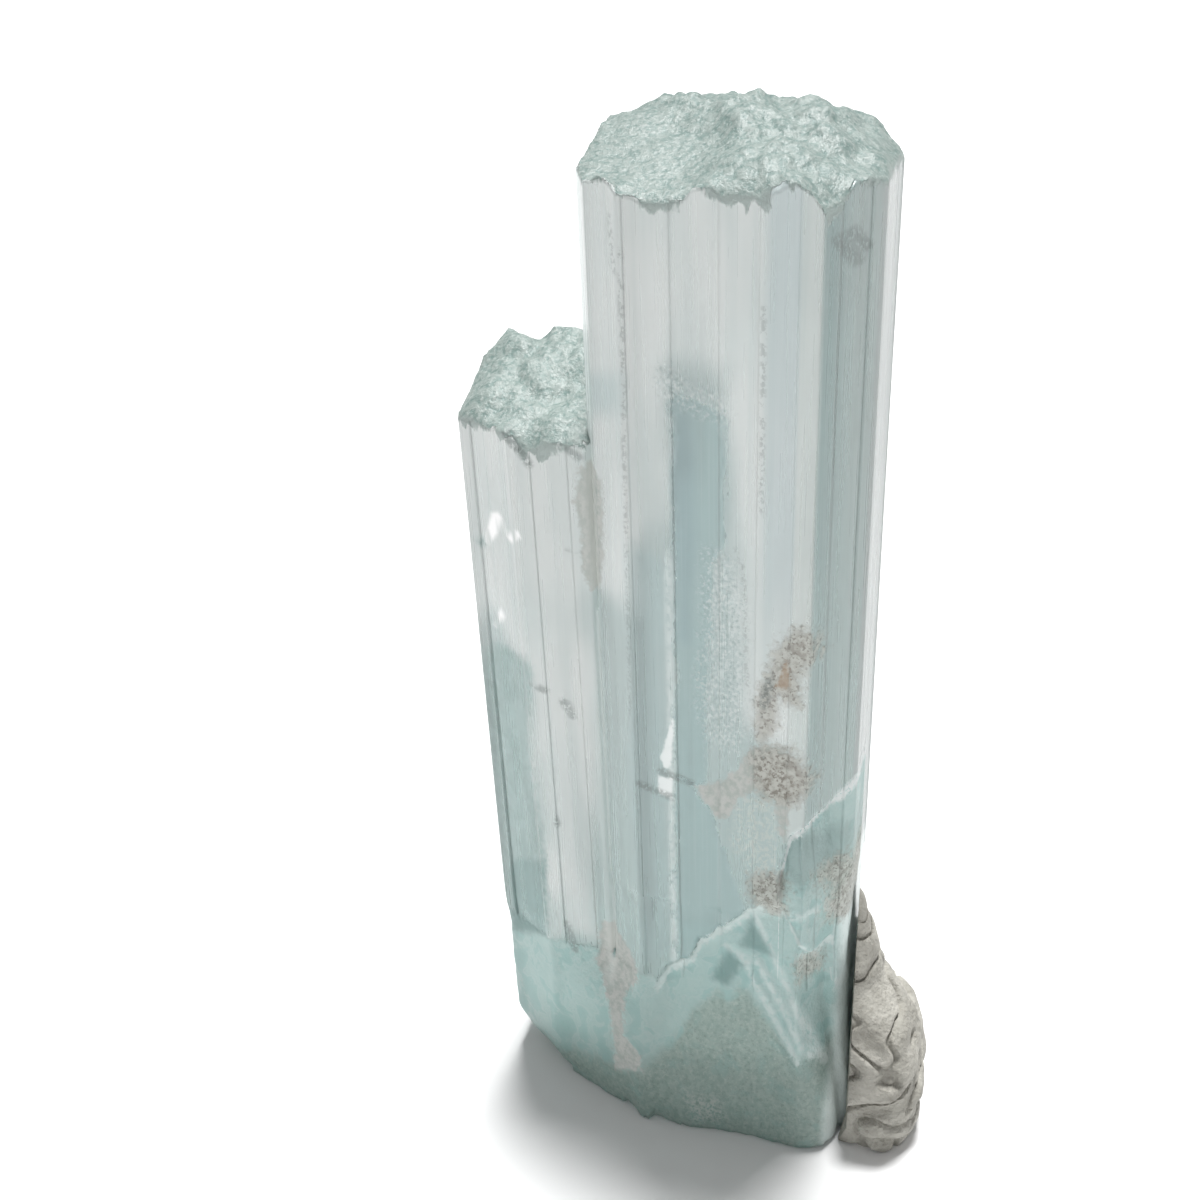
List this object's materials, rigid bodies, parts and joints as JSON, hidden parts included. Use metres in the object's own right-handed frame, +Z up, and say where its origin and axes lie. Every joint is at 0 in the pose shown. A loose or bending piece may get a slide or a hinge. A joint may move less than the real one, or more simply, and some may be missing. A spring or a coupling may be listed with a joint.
{
  "type": "aquamarine crystal specimen",
  "caption": "Tall etched aquamarine prism with a shorter parallel prism grown on its side, propped upright by a lump of mounting putty.",
  "frame": {"origin": "on the table under the c axis of the tall crystal, on the flat of its foot", "axes": "+Z up along the c axis of the tall crystal, -Y out of its broad front face, +X towards the putty"},
  "size_m": [0.0305, 0.0133, 0.0695],
  "materials": {
    "aquamarine": "striated, silky and etched, see-through where clear",
    "putty": "matt, pinched and creased"
  },
  "bodies": {
    "root": {"aquamarine_crystal": "aquamarine", "mounting_putty": "putty"}
  },
  "joints": []
}
